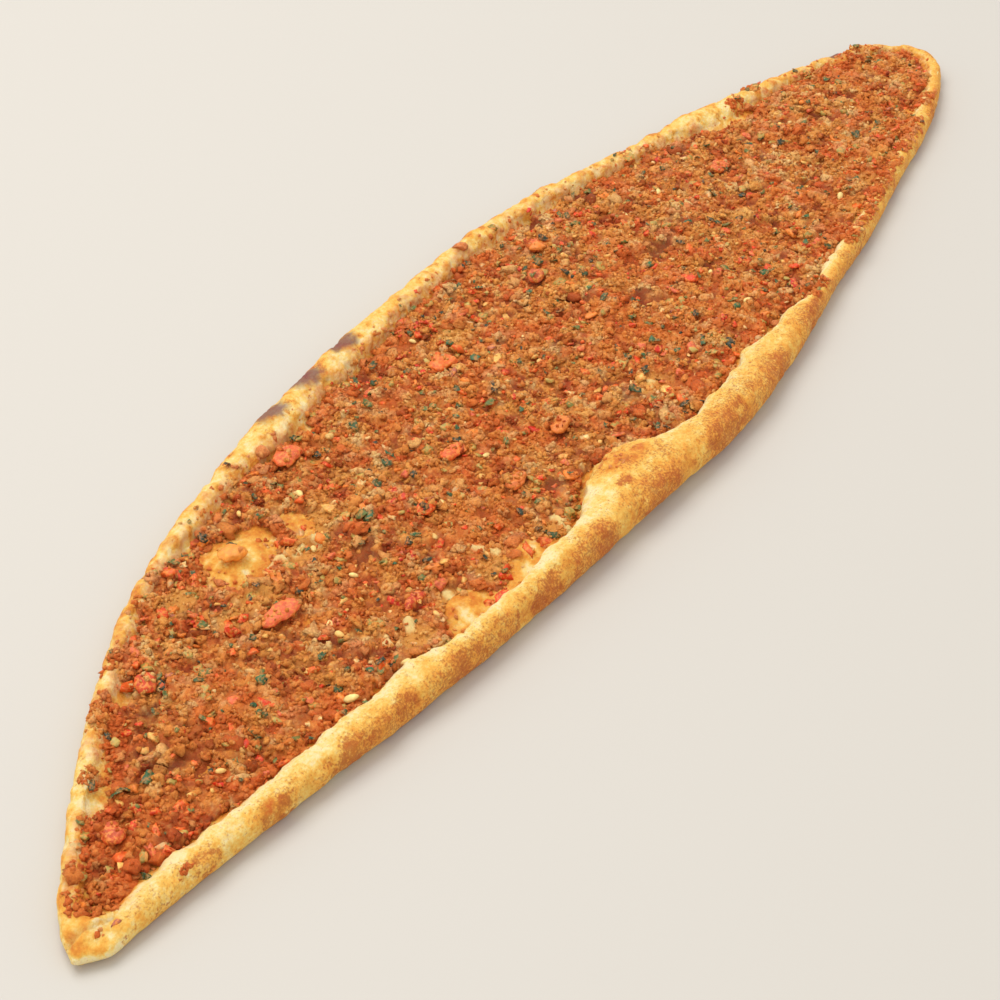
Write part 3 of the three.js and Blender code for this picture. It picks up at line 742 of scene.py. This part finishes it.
# ---- Lumps of mince ------------------------------------------------------------------------------
# The meat breaks up as it cooks into lumps the size of a lentil, lying on the clods. A few lie over
# the edge of the dough and on the bare spots.
SPILLS = [  # mince that lies over the dough's edge: x, y, half length
    (-0.1960, 0.0439, 0.007), (-0.2072, 0.0368, 0.007), (-0.2450, 0.0280, 0.009),
    (-0.2240, 0.0385, 0.006), (-0.2670, 0.0125, 0.005), (-0.2803, 0.0017, 0.005),
    (-0.2983, -0.0066, 0.004), (-0.3080, -0.0140, 0.006), (-0.3030, -0.0200, 0.006),
    (-0.2850, -0.0372, 0.0065), (-0.2755, -0.0430, 0.003), (0.0905, -0.0680, 0.008),
    (0.1365, -0.0640, 0.009), (0.1560, -0.0640, 0.009), (0.1700, -0.0610, 0.013),
    (0.1862, -0.0590, 0.012), (0.2040, -0.0555, 0.008), (0.2227, -0.0500, 0.008),
    (0.2400, -0.0490, 0.011), (0.2700, -0.0410, 0.008),
    (0.2206, 0.0308, 0.006), (0.2398, 0.0315, 0.006), (0.3000, 0.0060, 0.006),
]
LARGE_KINDS = ("tomato_piece", "pepper_piece")
EDGE_MARGIN = 4 * MM  # kept clear inside the dough's outline by loose grains
STREWN_X, STREWN_Y = 0.325, 0.08  # half the length and width over which grains are strewn

# The ground that loose grains are laid on, with the large pieces of tomato and pepper in it.
ground = np.maximum(core_top * kept, dough_top)
within = blurred((dough_top > 0).astype(float), 2 * MM)
within *= np.abs(GRID_X) < cad_high.x - EDGE_MARGIN
inside = within > 0.93
large_nodes = sorted(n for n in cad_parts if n.startswith(LARGE_KINDS))
shape = bmesh.new()
clear = np.ones_like(ground)  # 0 on the large pieces
for node in large_nodes:
    shape.from_mesh(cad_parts[node].data)
    box_low, box_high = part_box(node)
    middle, half = (box_low + box_high) / 2, (box_high - box_low) / 2
    away = np.hypot((GRID_X - middle.x) / half.x, (GRID_Y - middle.y) / half.y)
    clear *= ease(away, 0.6, 1.0)
ground = np.maximum(ground, seen_from_above(shape))

# How thick the grains lie: they climb raggedly on the rolls, furthest on the far one, and some lie
# on stains, on the dough's base and over the edge.
climbing = blurred(covered, 3.2 * MM)
thickness = ease(spread + 0.28 * wild, 0.42, 0.8)
climbing = np.where(GRID_Y > spine_y(GRID_X), blurred(covered, 4.5 * MM) + 0.26, climbing)
climbing = climbing + 0.4 * wild + 0.3 * fray
thickness = np.maximum(thickness, ease(climbing, 0.5, 0.85) * (backed > 0.6))
thickness = np.maximum(thickness, 0.4 * patches(GRID_X, GRID_Y, STAINS, -0.3 * wild))
on_base = 0.3 * (dough_top < 8 * MM) * ease(fray + wild, -0.3, 0.5)
thickness = np.maximum(thickness, on_base) * inside
spilt = patches(GRID_X, GRID_Y, SPILLS, -0.3 * wild) * (within > 0.76)
thickness = np.maximum(thickness, spilt)
open_ground = 1 - 0.95 * ease(crack, 0.15, 0.5)
open_ground *= (1 - 0.5 * thin) * (1 - 0.9 * ridge)


def strewn(count, apart, share, draw):
    """Random places on the map, as thick as share says and at least this far apart."""
    taken = {}
    found = []
    tries = 0
    while len(found) < count and tries < 40 * count:
        tries += 1
        x, y = draw.uniform(-STREWN_X, STREWN_X), draw.uniform(-STREWN_Y, STREWN_Y)
        if draw.random() > on_map(share, x, y):
            continue
        i, j = math.floor(x / apart), math.floor(y / apart)
        close = [p for a in (-1, 0, 1) for b in (-1, 0, 1) for p in taken.get((i + a, j + b), ())]
        if any(math.hypot(px - x, py - y) < apart for px, py in close):
            continue
        taken.setdefault((i, j), []).append((x, y))
        found.append((x, y))
    return found


def as_arrays(shape):
    """A bmesh's points and triangles, ready to be copied many times."""
    bmesh.ops.triangulate(shape, faces=shape.faces)
    shape.verts.index_update()
    points = np.array([v.co[:] for v in shape.verts])
    triangles = np.array([[v.index for v in f.verts] for f in shape.faces])
    shape.free()
    return points, triangles


def grain_shapes(count, faces, rough, seed):
    """Rough grains of unit radius: their points and triangles."""
    shapes = []
    for k in range(count):
        grain = bmesh.new()
        bmesh.ops.create_icosphere(grain, subdivisions=faces, radius=1)
        for vertex in grain.verts:
            away = Vector((seed + 3.1 * k, 5.7 * k, 0))
            coarse = noise.noise(vertex.co * 1.3 + away)
            vertex.co *= 1 + rough * (coarse + 0.9 * noise.noise(vertex.co * 3.4 + away))
        shapes.append(as_arrays(grain))
    return shapes


def tones_of(tones, count, draw, uneven):
    """One tone for each of count grains, drawn by its share, lighter or darker by uneven."""
    shares = np.array([share for _, share in tones])
    picked = draw.choice(len(tones), count, p=shares / shares.sum())
    paints = np.array([colour(*tone) for tone, _ in tones])[picked]
    paints[:, :3] *= draw.uniform(1 - uneven, 1 + uneven, count)[:, None]
    return paints


def sizes_of(low, high, count, draw):
    """Sizes from low to high, most of them small."""
    return (low + (high - low) * draw.random(count) ** 1.8) * MM


def laid(name, shapes, spots, sizes, paints, material, draw, flat, sunk, lean):
    """One mesh of many grains, each laid where the map of heights has its top so far. A grain's
    colour is darker towards its foot, a painted shade where it meets the ground."""
    all_points, all_triangles, all_paints = [], [], []
    start = 0
    for (x, y), size, tone in zip(spots, sizes, paints):
        points, triangles = shapes[draw.integers(len(shapes))]
        stretch = np.array([draw.uniform(0.9, 1.35), draw.uniform(0.7, 1.0), flat]) * size
        turn = np.array(Euler((
            draw.uniform(-lean, lean), draw.uniform(-lean, lean), draw.uniform(0, 2 * math.pi),
        )).to_matrix())
        points = (points * stretch) @ turn.T
        foot = float(on_map(ground, x, y))
        half = np.abs(points[:, 2]).max()
        rest = min(foot + half * (1 - 2 * sunk), cad_high.z - half)
        points += (x, y, rest)
        raise_map(ground, x, y, rest, 0.85 * size, 0.7 * half)
        all_points.append(points)
        all_triangles.append(triangles + start)
        # Painted shade: a point's colour is darker the lower it lies on its grain.
        foot_shade = 0.9 + 0.14 * (points[:, 2] - rest) / half
        all_paints.append(np.outer(foot_shade, tone))
        start += len(points)
    mesh = bpy.data.meshes.new(name)
    mesh.from_pydata(
        np.concatenate(all_points).tolist(), [], np.concatenate(all_triangles).tolist())
    tinted(mesh, np.concatenate(all_paints))
    return linked(name, mesh, material)


draw = np.random.default_rng(17)
lumpy = thickness * inside * clear * open_ground * np.clip(0.8 + 0.8 * wild, 0.3, 1)
spots = strewn(1700, 2.5 * MM, lumpy, draw)
lumps = laid(
    "mince_lumps", grain_shapes(9, faces=2, rough=0.85, seed=1), spots,
    sizes_of(1.3, 2.8, len(spots), draw), mince_paints(spots, 0.1), mince, draw,
    flat=0.66, sunk=0.56, lean=0.5)
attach(lumps, "root")

# ---- Crumbs of mince -----------------------------------------------------------------------------
# Smaller crumbs of the same meat, packed between the lumps and over them. They come off the lumps
# as the meat is stirred in the pan, and many fall beside the filling as it is spread.
draw = np.random.default_rng(29)
crumbly = thickness * (0.4 + 0.6 * clear) * (0.1 + 0.9 * open_ground)
spots = strewn(8400, 0.9 * MM, crumbly, draw) + strewn(1500, 0.7 * MM, spilt, draw)
crumbs = laid(
    "mince_crumbs", grain_shapes(9, faces=1, rough=0.75, seed=2), spots,
    sizes_of(0.65, 1.45, len(spots), draw), mince_paints(spots, 0.07), mince, draw,
    flat=0.8, sunk=0.56, lean=3)
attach(crumbs, "root")

# ---- Chopped tomato, pepper and onion ------------------------------------------------------------
# Ripe tomato, red and green pepper and onion, chopped small and baked soft among the meat. The
# largest are wet, slightly shrunken squares with a skin on one side; the rest are bits of the same.
TOMATO_TONES = [
    ((240, 100, 34), 0.42), ((232, 70, 24), 0.22), ((246, 136, 50), 0.24), ((232, 108, 66), 0.12),
]
RED_PEPPER_TONES = [((214, 46, 18), 0.6), ((232, 66, 20), 0.4)]
GREEN_TONES = [((172, 146, 66), 0.45), ((190, 164, 84), 0.35), ((120, 118, 52), 0.2)]
ONION_TONES = [
    ((244, 190, 100), 0.5), ((246, 206, 134), 0.25), ((226, 180, 120), 0.17),
    ((190, 110, 86), 0.08),
]
LARGE_TONES = {
    "tomato_piece_1": (232, 104, 62), "tomato_piece_2": (226, 96, 44),
    "tomato_piece_3": (232, 104, 36), "tomato_piece_4": (208, 80, 30),
    "tomato_piece_5": (226, 100, 44), "tomato_piece_6": (216, 92, 40),
    "tomato_piece_7": (210, 70, 28), "tomato_piece_8": (230, 98, 42),
    "pepper_piece_1": (232, 78, 22), "pepper_piece_2": (222, 120, 44),
    "pepper_piece_3": (230, 122, 58), "pepper_piece_4": (196, 62, 24),
    "pepper_piece_5": (204, 88, 42), "pepper_piece_6": (246, 156, 56),
}
RUBBED_TONE = (236, 146, 62)  # of oily crumb on the soft pieces
LARGE_RELIEF = 0.8  # mm, of the shrunken skin of a large piece
SEEN_SIZE = 3 * MM
SEEN_TOMATO = [  # soft bits that stand out: x, y
    (-0.1801, 0.0500), (-0.1789, 0.0412), (-0.2290, 0.0290), (-0.1825, -0.0342), (-0.2325, -0.0311),
    (-0.0097, -0.0436), (-0.1077, -0.0452), (-0.1210, -0.0440), (-0.1319, -0.0484),
    (-0.0034, -0.0520), (-0.1116, 0.0310), (-0.2741, -0.0167), (-0.2786, -0.0251),
    (-0.2923, -0.0166), (0.0632, 0.0464), (-0.1000, -0.0475),
]
SEEN_GREEN = [(0.0466, 0.0266), (-0.1243, 0.0193), (-0.0837, -0.0483), (-0.2200, 0.0060)]
SEEN_ONION = [(0.0038, -0.0307), (-0.0003, -0.0370), (-0.0010, -0.0448), (-0.1215, 0.0252)]


def wet_flesh(name, wetness, rubbed):
    """Soft cooked flesh, wet, with oily crumb rubbed on it."""
    material, tree, surface = material_of(name, 0.42)
    place = object_place(tree)
    shade = ranged(tree, grainy(tree, place, 520, 4, distortion=0.4), 0.3, 0.7, 0.7, 1.2)
    mottled = add(tree, "VectorMath", {0: attribute(tree, "tint", "Color"), "Scale": shade},
                  operation="SCALE").outputs["Vector"]
    coat = grainy(tree, place, 760, 3, 0.65)
    cover = ranged(tree, coat, 0.48, 0.6, 0, rubbed)
    plug(tree, surface, {
        "Base Color": mixed(tree, cover, mottled, colour(*RUBBED_TONE)),
        "Normal": relief_of(tree, coat, 0.6, 0.001),
        "Specular IOR Level": 0.35,
        "Coat Weight": wetness,
        "Coat Roughness": 0.2,
    })
    return material


def dice_shapes(count, seed):
    """Small cut squares, torn and shrunken by the oven."""
    shapes = []
    for k in range(count):
        dice = bmesh.new()
        bmesh.ops.create_cube(dice, size=1.6)
        bmesh.ops.bevel(dice, geom=dice.edges[:], offset=0.3, segments=1, profile=0.5,
                        affect="EDGES", material=-1)
        for vertex in dice.verts:
            away = Vector((seed + 2.3 * k, 0, 4.1 * k))
            vertex.co += 0.7 * noise.noise_vector(vertex.co * 0.9 + away)
            vertex.co += 0.35 * noise.noise_vector(vertex.co * 2.1 + away)
        shapes.append(as_arrays(dice))
    return shapes


flesh = wet_flesh("wet_flesh", 0.1, 0.8)
for kind in LARGE_KINDS:
    whole = bmesh.new()
    tints = []
    for node in [n for n in large_nodes if n.startswith(kind)]:
        shape = merged_copy(node)
        bmesh.ops.subdivide_edges(shape, edges=shape.edges, cuts=3, use_grid_fill=True)
        for _ in range(3):
            bmesh.ops.smooth_vert(shape, verts=shape.verts, factor=0.5,
                                  use_axis_x=True, use_axis_y=True, use_axis_z=True)
        shape.normal_update()
        for vertex in shape.verts:
            rough = noise.noise(vertex.co / (3.2 * MM)) + 0.5 * noise.noise(vertex.co / (1.3 * MM))
            vertex.co += vertex.normal * LARGE_RELIEF * MM * rough
        tints += [colour(*LARGE_TONES[node])] * len(shape.verts)
        joined = bpy.data.meshes.new(node)
        shape.to_mesh(joined)
        shape.free()
        whole.from_mesh(joined)
        bpy.data.meshes.remove(joined)
    made = placed(kind + "s", whole, flesh)
    tinted(made.data, tints)
    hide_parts(*[n for n in large_nodes if n.startswith(kind)])
    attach(made, "root")

draw = np.random.default_rng(23)
bits = thickness * clear * np.clip(0.7 - 0.9 * wild, 0.12, 1)
for name, seen, tones, slot, count, smallest, largest, flat in (
    ("onion_bits", SEEN_ONION, ONION_TONES, "mince", 340, 0.8, 2.0, 0.4),
    ("tomato_bits", SEEN_TOMATO, TOMATO_TONES, "tomato", 600, 0.9, 2.7, 0.42),
    ("red_pepper_bits", [], RED_PEPPER_TONES, "pepper", 160, 0.8, 2.3, 0.4),
    ("green_pepper_bits", SEEN_GREEN, GREEN_TONES, "pepper", 320, 0.9, 2.3, 0.42),
):
    spots = seen + strewn(count, 2.4 * MM, bits, draw)
    sizes = sizes_of(smallest, largest, len(spots), draw)
    sizes[:len(seen)] = SEEN_SIZE
    made = laid(
        name, dice_shapes(7, count), spots, sizes, tones_of(tones, len(spots), draw, 0.1), flesh,
        draw, flat=flat, sunk=0.52, lean=0.5)
    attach(made, "root")

# ---- Specks of mince -----------------------------------------------------------------------------
# The finest of the same meat, as small as coarse salt, stuck on and between everything. Fat and
# tomato paste hold them where they fall.
draw = np.random.default_rng(47)
spots = strewn(9800, 0.5 * MM, thickness * (0.4 + 0.6 * clear) * open_ground, draw)
specks = laid(
    "mince_specks", grain_shapes(9, faces=1, rough=0.8, seed=3), spots,
    sizes_of(0.4, 0.9, len(spots), draw), mince_paints(spots, 0.07), mince, draw,
    flat=0.8, sunk=0.45, lean=3)
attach(specks, "root")

# ---- Parsley -------------------------------------------------------------------------------------
# Flat parsley chopped with a knife into torn flakes, baked dark and crinkled, stuck to the meat. It
# lies in small bunches as well as alone.
PARSLEY_TONES = [
    ((62, 84, 44), 0.35), ((104, 118, 58), 0.25), ((44, 56, 36), 0.2), ((58, 106, 64), 0.2),
]
BUNCHES = [  # bunches of flakes: x, y, half length
    (-0.2275, -0.0158, 0.005), (-0.2285, -0.0218, 0.004), (-0.2065, 0.0072, 0.004),
    (-0.1655, -0.0138, 0.005), (-0.1505, 0.0022, 0.004), (-0.1055, -0.0118, 0.006),
    (-0.0925, 0.0032, 0.005), (-0.1845, -0.0348, 0.004), (-0.1235, 0.0472, 0.004),
    (-0.1895, 0.0352, 0.004), (0.0855, 0.0442, 0.004), (0.0575, 0.0422, 0.005),
    (0.0675, -0.0118, 0.004), (0.0805, -0.0148, 0.005), (0.1145, 0.0152, 0.004),
]


def flake_shapes(count):
    """Torn flakes of unit size, curled, with a little thickness."""
    shapes = []
    for k in range(count):
        flake = bmesh.new()
        bmesh.ops.create_grid(flake, x_segments=4, y_segments=3, size=1)
        for vertex in flake.verts:
            away = Vector((7.7 * k, 1.9 * k, 0))
            vertex.co.x *= 1 - 0.35 * abs(vertex.co.y)
            vertex.co.y *= 0.75 - 0.3 * vertex.co.x * vertex.co.x
            vertex.co += 0.45 * noise.noise_vector(vertex.co * 1.7 + away)
            vertex.co.z = 0.7 * noise.noise(vertex.co * 1.6 + away)
        over = bmesh.ops.extrude_face_region(flake, geom=flake.faces[:], use_keep_orig=True)["geom"]
        bmesh.ops.translate(flake, vec=(0, 0, 0.12),
                            verts=[g for g in over if isinstance(g, bmesh.types.BMVert)])
        bmesh.ops.recalc_face_normals(flake, faces=flake.faces)
        shapes.append(as_arrays(flake))
    return shapes


leaf = wet_flesh("parsley_leaf", 0.15, 0.5)
draw = np.random.default_rng(31)
bunched = np.maximum(0.16 * thickness, patches(GRID_X, GRID_Y, BUNCHES, -0.3 * wild))
spots = strewn(430, 1.6 * MM, bunched * np.clip(0.6 + wild, 0.15, 1), draw)
parsley = laid(
    "parsley", flake_shapes(8), spots, sizes_of(0.9, 2.4, len(spots), draw),
    tones_of(PARSLEY_TONES, len(spots), draw, 0.15), leaf, draw, flat=1.0, sunk=0.25, lean=0.5)
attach(parsley, "root")

# ---- Pepper seeds --------------------------------------------------------------------------------
# Flat pale seeds left in the chopped pepper, some of them swollen by the heat. They lie on the
# mince anywhere in the filling.
SEED_TONES = [((248, 216, 134), 0.6), ((240, 192, 108), 0.4)]
SEEN_SEEDS = [
    (-0.1225, 0.0372), (-0.1495, -0.0028), (-0.1015, -0.0078), (-0.1195, -0.0158),
    (-0.1775, -0.0158), (-0.2455, -0.0188), (-0.0695, -0.0068), (0.1095, 0.0302),
    (0.0865, -0.0208), (-0.0195, 0.0552),
]


def seed_shapes():
    """One flat oval of unit size, narrower at one end."""
    seed = bmesh.new()
    bmesh.ops.create_uvsphere(seed, u_segments=10, v_segments=6, radius=1)
    for vertex in seed.verts:
        vertex.co.y *= 0.72 + 0.16 * vertex.co.x
    return [as_arrays(seed)]


draw = np.random.default_rng(37)
spots = SEEN_SEEDS + strewn(14, 18 * MM, thickness, draw)
seeds = laid(
    "pepper_seeds", seed_shapes(), spots, sizes_of(1.5, 2.3, len(spots), draw),
    tones_of(SEED_TONES, len(spots), draw, 0.05), wet_flesh("seed_skin", 0.2, 0.1), draw,
    flat=0.42, sunk=0.3, lean=0.3)
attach(seeds, "root")
